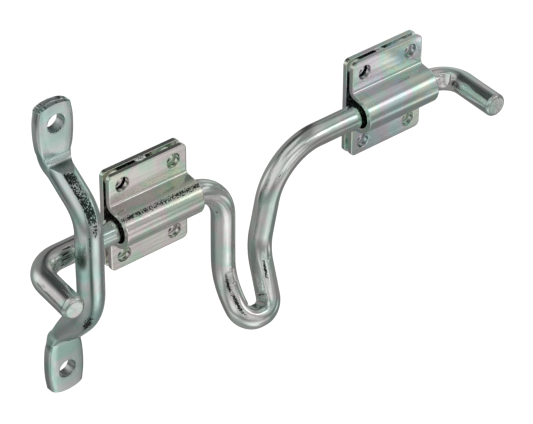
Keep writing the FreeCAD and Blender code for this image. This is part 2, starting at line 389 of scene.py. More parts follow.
def skin(name, rings, facts, caps=False):
    """A mesh over rings of points in metres. facts are named values at each point, kept as attributes."""
    count, around = rings.shape[:2]
    faces = [(i * around + j, i * around + (j + 1) % around,
              (i + 1) * around + (j + 1) % around, (i + 1) * around + j)
             for i in range(count - 1) for j in range(around)]
    if caps:
        faces += [tuple(range(around)), tuple(range((count - 1) * around, count * around))]
    mesh = bpy.data.meshes.new(name)
    mesh.from_pydata(rings.reshape(-1, 3).tolist(), [], faces)
    for fact, values in facts.items():
        kind, field = ("FLOAT_VECTOR", "vector") if values.ndim == 3 else ("FLOAT", "value")
        layer = mesh.attributes.new(fact, kind, "POINT")
        layer.data.foreach_set(field, values.astype(np.float32).ravel())
    shell = bmesh.new()
    shell.from_mesh(mesh)
    bmesh.ops.remove_doubles(shell, verts=shell.verts, dist=0.00001)
    bmesh.ops.recalc_face_normals(shell, faces=shell.faces)
    shell.to_mesh(mesh)
    shell.free()
    mesh.shade_smooth()
    mesh.set_sharp_from_angle(angle=SHARP)
    piece = bpy.data.objects.new(name, mesh)
    bpy.context.scene.collection.objects.link(piece)
    return piece


def apply(piece, kind, **settings):
    """Put a modifier on a piece and apply it."""
    step = piece.modifiers.new(kind.lower(), kind)
    for setting, value in settings.items():
        setattr(step, setting, value)
    bpy.context.view_layer.objects.active = piece
    bpy.ops.object.modifier_apply(modifier=step.name)


def punch(piece, x, z, radius, front, back, rim):
    """A round hole along Y from the front face to the back face, with a rolled rim at the front."""
    spots = [(radius + rim * (1 - math.cos(math.radians(FLARE_ANGLES[0]))), front - radius)]
    for angle in map(math.radians, FLARE_ANGLES):
        spots.append((radius + rim * (1 - math.cos(angle)), front + rim * (1 - math.sin(angle))))
    spots.append((radius, back + radius))
    turns = np.linspace(0, 2 * math.pi, HOLE_AROUND, endpoint=False)
    rings = np.array([[(x + r * math.cos(t), y, z + r * math.sin(t)) for t in turns] for r, y in spots])
    tool = skin("hole tool", rings * MM, {}, caps=True)
    apply(piece, "BOOLEAN", object=tool, solver="EXACT", operation="DIFFERENCE")
    bpy.data.objects.remove(tool)
    piece.data.set_sharp_from_angle(angle=SHARP)


def settle(piece, body, slot, *nodes):
    """Hand a finished piece to the frame: what it rides on and the solids it stands for. slot, the name of
    its finish, is not used.
    """
    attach(piece, body)
    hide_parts(*nodes)
    print(piece.name, "has", len(piece.data.vertices), "points and stands for", *nodes)


print("edges that turn more than", round(math.degrees(SHARP)), "degrees are shaded sharp")

# %% [markdown]
# ## The bolt bar
#
# The bolt is one half inch bar with eight bends. From the left it is a hook, a straight run through the left
# bracket, a U that hangs down as the grip, a wide sweep back up, a straight run through the right bracket,
# and an end leg. The sizes below are those of its corner points and bends, in millimetres, the same as in
# the solid. The joint in the frame says where the bolt's own line is.

# %% Route of the bolt bar
JOINT = frame["joints"][0]
BOLT_Y, BOLT_Z = (JOINT["pos_m"][i] / MM for i in (1, 2))
BAR_R = 6.35
BAR_STEP, BAR_AROUND = 0.7, 72                            # mm between rings, points in a ring
LEFT_EDGE, RIGHT_EDGE, FAR_EDGE = -24.0, 24.0, 181.5      # of the two brackets
# a reach is from a bracket's edge to the next corner, and a step is how far the leg spreads on its way
HOOK_REACH, HOOK_LEG, HOOK_LEAN, HOOK_BEND_R = 48.8, 39.2, math.radians(6), 16.3
U_REACH, U_DROP, U_BEND_R = 20.6, 63.9, 22.0
KNEE_R, KNEE_ANGLE = 34.7, math.radians(45)
GRIP_FLAT, GRIP_W, TURN_R = 0.7, 17.7, 8.5
RETURN_STEP, RETURN_DROP, RETURN_KNEE_R = 5.6, 52.6, 32.0
SWEEP_STEP, SWEEP_R = 11.5, 33.6
END_REACH, END_LEG, END_LEAN, END_BEND_R = 16.7, 40.0, math.radians(4), 12.7


def bolt_route():
    """Corner points and bend radii in mm, from the left leg's tip to the right leg's."""
    hook = np.array((LEFT_EDGE - HOOK_REACH, BOLT_Y, BOLT_Z))
    u_top = np.array((RIGHT_EDGE + U_REACH, BOLT_Y, BOLT_Z))
    knee = u_top + (0, 0, -U_DROP)
    grip_len = KNEE_R * math.tan(KNEE_ANGLE / 2) + TURN_R + GRIP_FLAT
    grip = knee + np.array((0, -math.sin(KNEE_ANGLE), -math.cos(KNEE_ANGLE))) * grip_len
    turn = grip + (GRIP_W, 0, 0)
    back_knee = np.array((turn[0] + RETURN_STEP, BOLT_Y, BOLT_Z - RETURN_DROP))
    rise = np.array((back_knee[0] + SWEEP_STEP, BOLT_Y, BOLT_Z))
    end = np.array((FAR_EDGE + END_REACH, BOLT_Y, BOLT_Z))
    hook_tip = hook - np.array((math.sin(HOOK_LEAN), math.cos(HOOK_LEAN), 0)) * HOOK_LEG
    end_tip = end - np.array((math.sin(END_LEAN), math.cos(END_LEAN), 0)) * END_LEG
    points = [hook_tip, hook, u_top, knee, grip, turn, back_knee, rise, end, end_tip]
    return points, [HOOK_BEND_R, U_BEND_R, KNEE_R, TURN_R, TURN_R, RETURN_KNEE_R, SWEEP_R, END_BEND_R]


bolt_path = bend_route(*bolt_route(), BAR_STEP)
print("the bolt bar is", round(distance_along(bolt_path)[-1]), "mm long, in", len(bolt_path), "rings")

# %% [markdown]
# ### Prints of the bending tools
#
# The bar was bent in a press with hard tools, and they left their prints: a flat where the bar was pinched
# at the foot of the grip, a stamped facet and a raised spot at the right bend, four grooves in the left
# hook, and scraped streaks down both legs of the grip. Such prints could be sculpted, but nobody could
# change them by number afterwards. So each print is one line in a table: where it is along and round the
# bar, how far it reaches, and how deep it is. Flats are cut by a plane, so the bar's round section meets
# them with a true edge. A third table says where the passivation is thick and green.

# %% Press marks
# name, place along the bar, angle round it, half length, half width, depth in mm, scale left in it. Over 1
# the scale is solid, and up to about 0.7 it is too thin to show and only makes the zinc duller
PRESS_MARKS = (
    ("hook groove 1", 52.5, 30, 7.5, 1.0, 0.42, 1.5),
    ("hook groove 2", 50.0, 52, 7.5, 1.0, 0.46, 1.5),
    ("hook groove 3", 48.5, 74, 7.0, 1.0, 0.42, 1.5),
    ("hook groove 4", 45.5, 94, 5.0, 1.0, 0.24, 1.3),
    ("hook nick", 19.2, -57, 2.6, 1.1, 0.20, 0.85),
    ("wrinkle 1", 140.2, 92, 6.0, 0.9, 0.14, 0.8),
    ("wrinkle 2", 144.7, 125, 7.0, 0.9, 0.16, 0.85),
    ("grip smudge", 155.2, 150, 4.0, 2.4, 0.10, 0.95),
    ("left die edge 1", 195.4, 88, 1.2, 4.2, 0.20, 0.1),
    ("left die edge 2", 204.4, 84, 1.2, 4.0, 0.24, 1.2),
    ("scrape 1", 204.0, 119, 17.0, 2.4, 0.16, 1.2),
    ("scrape 2", 216.5, 110, 19.0, 2.8, 0.20, 1.2),
    ("inner crease", 247.8, 30, 1.4, 6.5, 0.30, 1.2),
    ("right die edge", 265.7, 110, 1.4, 3.6, 0.24, 0.6),
    ("right scrape", 260.7, 83, 15.0, 2.0, 0.16, 1.2),
    ("sweep smudge", 313.7, 78, 6.0, 1.6, 0.08, 0.8),
    ("metal pushed up in the right bend", 446.0, 90, 5.5, 4.5, -0.35, 0.66),
)
# name, first and last place along the bar, run in and run out, angle round it, depth in mm
FLATS = (
    ("pinched foot of the grip", 224.7, 247.7, 5.0, 1.5, 34, 1.15),
    ("pinched right leg of the grip", 249.2, 250.0, 0.6, 34.0, 34, 1.0),
    ("stamped right bend, near the strap", 428.0, 435.5, 0.8, 1.2, 80, 0.80),
)
# name, place, angle, half length, half width, strength
BOLT_STAINS = (
    ("green inside the hook", 34, 84, 11.0, 5.5, 0.60),
    ("dark behind the hook grooves", 50, 58, 8.5, 5.5, 0.45),
    ("green in the right bend", 444.5, 94, 5.0, 5.5, 0.40),
)
print(len(PRESS_MARKS), "marks,", len(FLATS), "flats and", len(BOLT_STAINS), "stains on the bolt bar")

# %% Skin of the bolt bar
WAVE = 0.04              # mm, depth of the soft waves in a bar, all of it below the solid's surface
CRUST_LUMPS = 0.05       # mm, lumps in solid scale
PLANE_FACING = 0.3       # a flat cuts only where the bar's surface faces it at least this much


def bolt_skin():
    ways, ups, sides = carry_frames(bolt_path, np.array((0.0, 0.0, 1.0)))
    along = distance_along(bolt_path)[:, None]
    angles = np.linspace(-math.pi, math.pi, BAR_AROUND, endpoint=False)[None, :]
    radius = np.full((len(bolt_path), BAR_AROUND), BAR_R)
    scale = np.zeros_like(radius)
    for name, first, last, run_in, run_out, angle, depth in FLATS:
        cut = depth * smooth(first - run_in, first, along) * (1 - smooth(last, last + run_out, along))
        facing = np.cos(round_gap(angles, angle))
        plane = np.where(facing > PLANE_FACING, (BAR_R - cut) / np.maximum(facing, PLANE_FACING), BAR_R)
        radius = np.where(cut > 0, np.minimum(radius, plane), radius)
    for name, *spot, depth, left_scale in PRESS_MARKS:
        shape = spot_on_bar(along, angles, BAR_R, *spot)
        radius = radius - depth * shape
        scale = np.maximum(scale, left_scale * shape)
    out = ups[:, None, :] * np.cos(angles)[..., None] + sides[:, None, :] * np.sin(angles)[..., None]
    run = np.stack(np.broadcast_arrays(BAR_R * np.cos(angles), BAR_R * np.sin(angles), along), -1)
    radius = radius - WAVE - WAVE * grain(run * (1, 1, 0.2), 3.0) - scale * CRUST_LUMPS * grain(run, 0.9)
    rings = bolt_path[:, None, :] + out * radius[..., None]
    return ways, out, rings, run, scale


# %% [markdown]
# ### Sawn tips
#
# The bar's ends were sawn and then turned or tumbled round at the edge. The left tip is worn rounder than
# the right one, so each tip has its own edge size. A little scale on the sawn face makes it duller than the
# drawn side.

# %% Tips of the bolt bar
HOOK_TIP_EDGE, END_TIP_EDGE, TIP_FULL = 2.3, 1.6, 0.9     # full 1 is round, and less is slimmer
SAWN_DULL, SAWN_STAIN, SAWN_WAVE = 0.25, 0.22, 0.02


def tip_rings(tip, way, out, run, edge):
    """Rings that close the bar at its tip, over an edge of this size. way points out of the bar."""
    closing = []
    spots = [(edge * (1 - math.cos(a)) ** TIP_FULL, edge * (1 - math.sin(a)) ** TIP_FULL)
             for a in np.radians((0, 14, 28, 42, 56, 70, 82))]
    spots += [(inset, 0.0) for inset in np.linspace(edge, BAR_R, 7)]
    for inset, back in spots:
        ring = tip + out * (BAR_R - WAVE - inset) - way * back
        ring = ring - way * (SAWN_WAVE + SAWN_WAVE * grain(ring, 1.6))[:, None]
        if inset == BAR_R:
            ring = np.broadcast_to(tip - way * SAWN_WAVE, ring.shape)
        closing.append(ring)
    return np.array(closing), np.broadcast_to(run, (len(closing),) + run.shape)


def make_bolt_bar():
    ways, out, rings, run, scale = bolt_skin()
    first_kept = round(HOOK_TIP_EDGE / BAR_STEP) + 1
    last_kept = round(END_TIP_EDGE / BAR_STEP) + 1
    body = slice(first_kept, -last_kept)
    first, first_run = tip_rings(bolt_path[0], -ways[0], out[0], run[0], HOOK_TIP_EDGE)
    last, last_run = tip_rings(bolt_path[-1], ways[-1], out[-1], run[-1], END_TIP_EDGE)
    all_rings = np.concatenate((first[::-1], rings[body], last))
    all_runs = np.concatenate((first_run[::-1], run[body], last_run))
    sawn = np.ones((len(first), BAR_AROUND))
    all_scale = np.concatenate((sawn * SAWN_DULL, scale[body], sawn * SAWN_DULL))
    stain_and_dark_reflection = np.concatenate((sawn * SAWN_STAIN, scale[body] * 0, sawn * SAWN_STAIN))
    angles = np.arctan2(all_runs[..., 1], all_runs[..., 0])
    for name, *spot, strength in BOLT_STAINS:
        stain_and_dark_reflection = np.maximum(stain_and_dark_reflection, strength * spot_on_bar(all_runs[..., 2], angles, BAR_R, *spot))
    facts = {"run": all_runs * MM, "scale": all_scale, "stain_and_dark_reflection": stain_and_dark_reflection}
    return skin("bolt_bar_skin", all_rings * MM, facts)


bolt_bar = make_bolt_bar()
settle(bolt_bar, "bolt", "bolt_zinc", "bolt_bar")

# %% [markdown]
# ## The keeper
#
# The keeper is a heavier bar. Its ends were heated, hammered flat, punched and sheared off, and its middle
# was bent into a bow. The section along the route is a rounded oblong at the feet and a circle in the bow,
# so one formula serves both: a superellipse whose power runs from 2, the circle, to 6. Two planes cut it on
# the way, one in front and one behind, as the hammer and the anvil did. A third, narrower plane is the
# strip where the bar lay on the bending tool. Heat leaves scale, a thin crust of oxide, and the strip is
# full of it, because zinc doesn't cover scale well.

# %% Keeper's sizes
KEEPER_REACH, KEEPER_CLEAR = 28.05, 4.6      # left of the left bracket, and in front of the bolt
KEEPER_X = LEFT_EDGE - KEEPER_REACH
KEEPER_R = 7.0
KEEPER_STEP, KEEPER_AROUND = 0.6, 96
FLAT_T, FLAT_POWER = 6.4, 6.0
BOW_Y = BOLT_Y - BAR_R - KEEPER_CLEAR - KEEPER_R
HOLE_RISE, HOLE_SPAN = 71.9, 146.0           # top hole above the bolt, and hole to hole
TOP_HOLE = BOLT_Z + HOLE_RISE
BOTTOM_HOLE = TOP_HOLE - HOLE_SPAN
TOP_BEND, BOW_TOP = TOP_HOLE - 21.8, TOP_HOLE - 40.3
BOTTOM_BEND, BOW_BOTTOM = BOTTOM_HOLE + 21.0, BOTTOM_HOLE + 48.5
FLAT_BEND_R, TOP_BOW_R, BOTTOM_BOW_R = 9.4, 19.5, 33.4
TOP_HOLE_END, BOTTOM_HOLE_END = 8.4, 10.6    # from a hole to where the shear's arch begins
END_ARCH = 2.4
HOLE_R, HOLE_RIM = 4.9, 0.45
WAIST_W, BELLY_W, TIP_W = 18.4, 21.4, 19.0
SWELL_EARLY, SWELL_PAST, ROUND_PAST = 4, 1, 2     # before the waist, and past the flat's bend
FRONT_RAMP, BACK_RAMP = 8.0, 12.0    # length over which the hammered faces run out past the bend
STRIP_ANGLE = 9.0                    # degrees from the front towards the left
STRIP_LONG, STRIP_HEIGHT = 36.0, 6.36
STRIP_RIM, STRIP_PATCHY = 0.08, 0.14          # mm deep where it is full of scale, and how uneven that is
FORGED_DEPTH, FORGED_LUMPS = 0.06, 0.10       # mm, of solid scale

# name, place along the keeper, angle round it, half length, half width, depth in mm, scale left in it
KEEPER_MARKS = (
    ("bow foot patch", 122, 32, 14.0, 6.0, 0.06, 1.15),
    ("scratch down the bow", 74, 33, 16.0, 1.6, 0.03, 1.0),
)
# name, place, angle, half length, half width, strength. The green run on the bow is thick passivation; the
# other two are painted dark reflections in the same dark green
KEEPER_STAINS_AND_DARK_REFLECTIONS = (
    # painted reflection: a dark line where the round bow mirrors a dark part of the room
    ("painted dark reflection down the bow", 96, 32, 54.0, 1.5, 0.95),
    ("green run on the bow", 84, 66, 8.5, 3.2, 0.95),
    # painted reflection: the facet faces up towards a dark part of the room, so it is painted dark
    ("painted dark reflection on the facet below the top bend", 36.5, 0, 4.5, 9.0, 0.75),
)


def keeper_route():
    top = TOP_HOLE + TOP_HOLE_END + END_ARCH
    bottom = BOTTOM_HOLE - BOTTOM_HOLE_END - END_ARCH
    spots = ((-FLAT_T / 2, top), (-FLAT_T / 2, TOP_BEND), (BOW_Y, BOW_TOP), (BOW_Y, BOW_BOTTOM),
             (-FLAT_T / 2, BOTTOM_BEND), (-FLAT_T / 2, bottom))
    return [np.array((KEEPER_X, y, z)) for y, z in spots], [FLAT_BEND_R, TOP_BOW_R, BOTTOM_BOW_R, FLAT_BEND_R]


def flat_width(from_tip, tip_to_hole, tip_to_waist):
    """Width of a flat: a parabola through the tip's, the hole's and the waist's width."""
    a = TIP_W * (from_tip - tip_to_hole) * (from_tip - tip_to_waist) / (tip_to_hole * tip_to_waist)
    b = BELLY_W * from_tip * (from_tip - tip_to_waist) / (tip_to_hole * (tip_to_hole - tip_to_waist))
    c = WAIST_W * from_tip * (from_tip - tip_to_hole) / (tip_to_waist * (tip_to_waist - tip_to_hole))
    return a + b + c


def hammered(from_tip, hole_end, bend, hole, strip_long):
    """Section by distance from one tip: half width, half thickness, power, and the three planes."""
    tip = hole_end + END_ARCH
    turn = math.atan2(abs(BOW_Y + FLAT_T / 2), abs(bend[0] - bend[1]))
    waist = tip + abs(hole - bend[0]) - FLAT_BEND_R * math.tan(turn / 2)
    bend_end = waist + FLAT_BEND_R * turn
    width = np.where(from_tip < waist, flat_width(from_tip, tip, waist), WAIST_W)
    swell = smooth(waist - SWELL_EARLY, bend_end + SWELL_PAST, from_tip)
    half_w = width / 2 + (KEEPER_R - width / 2) * swell
    rounding = smooth(waist, bend_end + ROUND_PAST, from_tip)
    half_t = FLAT_T / 2 + (KEEPER_R - FLAT_T / 2) * rounding
    power = FLAT_POWER + (2 - FLAT_POWER) * rounding
    front = FLAT_T / 2 + (KEEPER_R - FLAT_T / 2) * ramp(bend_end - 1, bend_end - 1 + FRONT_RAMP, from_tip)
    back = FLAT_T / 2 + (KEEPER_R - FLAT_T / 2) * ramp(bend_end, bend_end + BACK_RAMP, from_tip)
    # the strip begins sharply, gets shallower along its length and runs out over its last quarter
    past = (from_tip - bend_end) / strip_long
    fading = 0.3 * np.clip(past, 0, 1) + 0.7 * smooth(0.75, 1.0, past) + 1 - smooth(-0.1, 0.05, past)
    strip = STRIP_HEIGHT + (KEEPER_R - STRIP_HEIGHT) * fading
    return half_w, half_t, power, front, back, strip


def keeper_skin():
    points, radii = keeper_route()
    path = bend_route(points, radii, KEEPER_STEP)
    ways, ups, sides = carry_frames(path, np.array((0.0, -1.0, 0.0)))
    along = distance_along(path)
    length = along[-1]
    top = hammered(along, TOP_HOLE_END, (TOP_BEND, BOW_TOP), TOP_HOLE, STRIP_LONG)
    bottom = hammered(length - along, BOTTOM_HOLE_END, (BOTTOM_BEND, BOW_BOTTOM), BOTTOM_HOLE, STRIP_LONG / 3)
    half_w, half_t, power, front, back, strip = (
        np.where(along < length / 2, a, b)[:, None] for a, b in zip(top, bottom))
    angles = np.linspace(-math.pi, math.pi, KEEPER_AROUND, endpoint=False)[None, :]
    cos, sin = np.cos(angles), np.sin(angles)
    across = half_t * np.sign(cos) * np.abs(cos) ** (2 / power)
    wide = half_w * np.sign(sin) * np.abs(sin) ** (2 / power)
    across = np.clip(across, -back, front)
    lean = math.radians(STRIP_ANGLE)
    over = np.maximum(across * math.cos(lean) + wide * math.sin(lean) - strip, 0)
    across = across - over * math.cos(lean)
    wide = wide - over * math.sin(lean)
    run = np.stack(np.broadcast_arrays(KEEPER_R * cos, KEEPER_R * sin, along[:, None]), -1)
    scale = smooth(0.0, STRIP_RIM, over) * (1 + STRIP_PATCHY * grain(run, 4.0))
    dent = WAVE + WAVE * grain(run * (1, 1, 0.3), 4.0)
    for name, *spot, depth, left_scale in KEEPER_MARKS:
        shape = spot_on_bar(along[:, None], angles, KEEPER_R, *spot)
        dent = dent + depth * shape
        scale = np.maximum(scale, left_scale * shape)
    dent = dent + scale * (FORGED_DEPTH + FORGED_LUMPS * grain(run, 1.3))
    # Besides thick passivation, this paints dark reflections on the keeper: the line down the bow and the
    # facet below the top bend, where the bar mirrors dark parts of the room.
    stain_and_dark_reflection = np.zeros_like(across)
    for name, *spot, strength in KEEPER_STAINS_AND_DARK_REFLECTIONS:
        stain_and_dark_reflection = np.maximum(stain_and_dark_reflection, strength * spot_on_bar(along[:, None], angles, KEEPER_R, *spot))
    shrink = (1 - dent / np.sqrt(across ** 2 + wide ** 2))[..., None]
    return (path, ways, ups, sides, across[..., None] * shrink, wide[..., None] * shrink, run, scale,
            stain_and_dark_reflection)


# %% [markdown]
# ### Sheared ends
#
# Each foot ends where the shear cut it: an arched outline, a smooth burnished edge at the front and a torn
# face behind. The rings near the end are pulled back along the arch, and the last ones close the face, with
# a noise that runs through the thickness as tear marks do.

# %% Keeper
TORN_SCALE = 0.76
TORN_DEPTH, TEAR_MARKS, TEAR_LUMPS = 0.15, 0.18, 0.12     # mm


def arch_drop(wide):
    """How far the sheared end lies below its crest, at a distance wide from the middle."""
    arch_r = (TIP_W ** 2 / 4 + END_ARCH ** 2) / (2 * END_ARCH)
    return arch_r - np.sqrt(np.maximum(arch_r ** 2 - wide ** 2, 0))


def make_keeper():
    path, ways, ups, sides, across, wide, run, scale, stain_and_dark_reflection = keeper_skin()
    rings = path[:, None, :] + ups[:, None, :] * across + sides[:, None, :] * wide
    along = run[:, 0, 2]
    length = along[-1]
    ends = ((along, ways[0], TOP_HOLE_END), (length - along, -ways[-1], BOTTOM_HOLE_END))
    for from_tip, way, hole_end in ends:
        pull = (1 - smooth(0, hole_end + END_ARCH, from_tip))[:, None] * arch_drop(wide[..., 0])
        rings = rings + way * pull[..., None]
    caps = []
    for ring, mid, way in ((rings[0], path[0], -ways[0]), (rings[-1], path[-1], ways[-1])):
        layers = []
        for share in (0.93, 0.8, 0.6, 0.4, 0.2):
            layer = ring.copy()
            layer[:, 1] = mid[1] + (ring[:, 1] - mid[1]) * share
            tear = TEAR_MARKS * grain(layer * (1, 0.25, 0), 0.8) + TEAR_LUMPS * grain(layer, 1.6)
            layers.append(layer - way * (TORN_DEPTH + tear)[:, None])
        caps.append(np.array(layers))
    all_rings = np.concatenate((caps[0][::-1], rings, caps[1]))
    torn = np.ones((len(caps[0]), KEEPER_AROUND))
    all_runs = np.concatenate([run[:1]] * len(torn) + [run] + [run[-1:]] * len(torn))
    facts = {"run": all_runs * MM,
             "scale": np.concatenate((torn * TORN_SCALE, scale, torn * TORN_SCALE)),
             "stain_and_dark_reflection": np.concatenate((torn * 0, stain_and_dark_reflection, torn * 0))}
    piece = skin("keeper_skin", all_rings * MM, facts, caps=True)
    for z in (TOP_HOLE, BOTTOM_HOLE):
        punch(piece, KEEPER_X, z, HOLE_R, -FLAT_T, 0.0, HOLE_RIM)
    return piece


keeper = make_keeper()
settle(keeper, "fixed_hardware", "keeper_zinc", "keeper")

# %% [markdown]
# ## The brackets
#
# Each bracket is a strap pressed from 2.8 mm sheet, in front of a flat back plate of the same sheet. Both
# were blanked, so their corners are round, and tumbled, so their edges are soft. The solids in the frame
# have the right shape, but their round edges come as thin triangles, and on bare metal each one shows. So
# both are wound from rings again, with even faces. A strap's rings are its hat-shaped section, one after
# the other along the bolt. Near a side the section shrinks all round for the soft edge, and its flanges get
# shorter for the round corner.

# %% Bracket sizes
SHEET_T, SHEET_GAP = 2.8, 2.3
PLATE_W, PLATE_H = RIGHT_EDGE - LEFT_EDGE, 56.5
CORNER_R, EDGE_R = 3.0, 0.5
FLANGE_Y = -(2 * SHEET_T + SHEET_GAP)
SIDE_CLEAR, FRONT_CLEAR = 1.05, 2.35          # between the bolt and the saddle
SADDLE_R = BAR_R + SIDE_CLEAR + SHEET_T
SADDLE_Y = BOLT_Y - BAR_R - FRONT_CLEAR + SADDLE_R - SHEET_T
SADDLE_LEAN = math.radians(8)
FOOT_R = 2.0
SCREW_R, SCREW_RIM = 4.0, 0.45
SCREWS_APART = (31.6, 41.9)
SCREWS = [(sx * SCREWS_APART[0] / 2, sz * SCREWS_APART[1] / 2) for sx in (-1, 1) for sz in (-1, 1)]
STRAP_STEP = 0.45
# a soft edge is a quarter ellipse, half as wide as deep
EDGE_STEPS = ((0.0, 1.0), (0.03, 0.62), (0.13, 0.29), (0.3, 0.08), (0.5, 0.0))
BRACKETS = {"left": 0.0, "right": FAR_EDGE - RIGHT_EDGE}
SPECKLE_ANGLE, SPECKLE_HALF, SPECKLE_OUT = 55.0, 3.3, 4.0     # degrees above the front, and mm
print("holes at", SCREWS)

# %% Straps


def strap_face():
    """Points of a strap's front face and the ways it faces, in Y and Z, from the top flange down."""
    nose_y = SADDLE_Y - SADDLE_R * math.sin(SADDLE_LEAN)
    foot_z = SADDLE_R * math.cos(SADDLE_LEAN) + (FLANGE_Y - nose_y) * math.tan(SADDLE_LEAN)
    apex = np.array((SADDLE_Y - SADDLE_R / math.sin(SADDLE_LEAN), 0.0))
    end_z = PLATE_H / 2 - EDGE_R
    corners = [np.array(p) for p in ((FLANGE_Y, end_z), (FLANGE_Y, foot_z))]
    corners += [apex] + [p * (1, -1) for p in reversed(corners)]
    face = bend_route(corners, [FOOT_R, SADDLE_R, FOOT_R], STRAP_STEP)
    ways = np.gradient(face, axis=0)
    ways /= np.linalg.norm(ways, axis=1)[:, None]
    return face, np.stack((ways[:, 1], -ways[:, 0]), 1), foot_z + FOOT_R


def row_places():
    """Places across the strap, from its left side to its right, and how far the section shrinks there."""
    near = [(EDGE_R * a, EDGE_R * b) for a, b in EDGE_STEPS] + [(e, 0.0) for e in (0.9, 1.5, 2.2, CORNER_R)]
    inner = np.linspace(CORNER_R, PLATE_W - CORNER_R, 16)[1:-1]
    left = [(e - PLATE_W / 2, inset) for e, inset in near]
    return left + [(e - PLATE_W / 2, 0.0) for e in inner] + [(-x, inset) for x, inset in reversed(left)]


def corner_loss(from_side):
    """How much shorter an outline is near its side, for a round corner."""
    left = max(CORNER_R - from_side, 0)
    return CORNER_R - math.sqrt(CORNER_R ** 2 - left ** 2)


def strap_row(face, facing, flat_from, x, inset):
    """One closed section of the strap, at x."""
    end_z = PLATE_H / 2 - corner_loss(PLATE_W / 2 - abs(x))
    built_to = PLATE_H / 2 - EDGE_R
    pull = (end_z - EDGE_R - flat_from) / (built_to - flat_from)
    height = np.abs(face[:, 1])
    shrunk = np.where(height > flat_from, flat_from + (height - flat_from) * pull, height)
    front = np.stack((face[:, 0], np.sign(face[:, 1]) * shrunk), 1)
    loop = [front - facing * inset]
    rounding = [(EDGE_R * (1 - math.sin(t)), EDGE_R * math.cos(t)) for t in np.radians((60, 30, 0))]
    rounding += [(SHEET_T - depth, out) for depth, out in reversed(rounding)]
    rounding = [(min(max(depth, inset), SHEET_T - inset), min(out, EDGE_R - inset))
                for depth, out in rounding]
    loop.append(np.array([(FLANGE_Y + depth, -(end_z - EDGE_R + out)) for depth, out in rounding]))
    loop.append((front - facing * (SHEET_T - inset))[::-1])
    loop.append(np.array([(FLANGE_Y + depth, end_z - EDGE_R + out) for depth, out in reversed(rounding)]))
    return np.concatenate(loop)


def make_strap(side, speckle):
    """speckle is how much scale is left in a line along the saddle."""
    middle = BRACKETS[side]
    face, facing, flat_from = strap_face()
    rings = np.array([np.insert(strap_row(face, facing, flat_from, x, inset), 0, middle + x, axis=1)
                      for x, inset in row_places()])
    turn = np.degrees(np.arctan2(rings[..., 2], SADDLE_Y - rings[..., 1]))
    line = np.sqrt(bell(np.radians(turn - SPECKLE_ANGLE) * SADDLE_R, SPECKLE_HALF))
    line = line * (rings[..., 1] < FLANGE_Y - SPECKLE_OUT)
    piece = skin(side + "_strap_skin", rings * MM, {"scale": line * speckle}, caps=True)
    for x, z in SCREWS:
        punch(piece, middle + x, z, SCREW_R, FLANGE_Y, FLANGE_Y + SHEET_T, SCREW_RIM)
    apply(piece, "WEIGHTED_NORMAL", keep_sharp=True)
    return piece


straps = {side: make_strap(side, speckle) for side, speckle in (("left", 0.97), ("right", 0.0))}
for side, strap in straps.items():
    settle(strap, "fixed_hardware", "sheet_zinc", side + "_strap")

# %% [markdown]
# ### Back plates
#
# A back plate is only a rounded rectangle of the same sheet. Its rings run round the outline: in over the
# soft front edge, back through the thickness, and in again over the back edge.

# %% Back plates
CORNER_STEPS = 8


def plate_outline(inset):
    """Points round a rounded rectangle in X and Z, drawn in by inset."""
    radius = CORNER_R - inset
    points = []
    for sx, sz, start in ((1, 1, 0), (-1, 1, 90), (-1, -1, 180), (1, -1, 270)):
        middle = np.array((sx * (PLATE_W / 2 - CORNER_R), sz * (PLATE_H / 2 - CORNER_R)))
        for turn in np.radians(np.linspace(start, start + 90, CORNER_STEPS)):
            points.append(middle + radius * np.array((math.cos(turn), math.sin(turn))))
    return np.array(points)


def make_back_plate(side):
    middle = BRACKETS[side]
    spots = [(EDGE_R * b, -SHEET_T + EDGE_R * a) for a, b in EDGE_STEPS]
    spots += [(inset, -SHEET_T - y) for inset, y in reversed(spots)]
    rings = np.array([[(middle + x, y, z) for x, z in plate_outline(inset)] for inset, y in spots])
    piece = skin(side + "_back_plate_skin", rings * MM, {"scale": np.zeros(rings.shape[:2])}, caps=True)
    for x, z in SCREWS:
        punch(piece, middle + x, z, SCREW_R, -SHEET_T, 0.0, SCREW_RIM)
    apply(piece, "WEIGHTED_NORMAL", keep_sharp=True)
    return piece


back_plates = {side: make_back_plate(side) for side in BRACKETS}
for side, plate in back_plates.items():
    settle(plate, "fixed_hardware", "sheet_zinc", side + "_back_plate")

# %% [markdown]
# ### Tack welds
#
# A bead of weld bridges the gap between strap and back plate at the top. The left one was laid with too much
# metal and stands proud as a lumpy bead, and the right one is hardly more than a drop. A ball pushed out of
# shape by noise is enough for both.

# %% Tack welds
# side, from the bracket's middle, height of the bead's middle, half sizes in X, Y and Z, depth of the lumps
BEADS = (
    ("left", -1.6, 27.7, (3.1, 1.75, 1.35), 0.42),
    ("right", -2.0, 26.9, (2.6, 1.6, 0.9), 0.18),
)
BEAD_Y = FLANGE_Y / 2
LUMP_MM, SMALL_LUMP_MM = 1.3, 0.6


def make_bead(side, shift, z, half, lumps):
    bpy.ops.mesh.primitive_ico_sphere_add(subdivisions=5, radius=1.0)
    piece = bpy.context.object
    piece.name = side + "_weld_bead"
    middle = Vector((BRACKETS[side] + shift, BEAD_Y, z))
    for point in piece.data.vertices:
        spot = Vector([c * h for c, h in zip(point.co, half)])
        lump = noise.noise(spot / LUMP_MM + middle) + noise.noise(spot / SMALL_LUMP_MM + middle) / 2
        point.co = (middle + spot + point.co * lump * lumps) * MM
    piece.data.shade_smooth()
    return piece


beads = [make_bead(*bead) for bead in BEADS]
for bead, (side, *rest) in zip(beads, BEADS):
    settle(bead, "fixed_hardware", "weld_zinc", side + "_tack_weld")

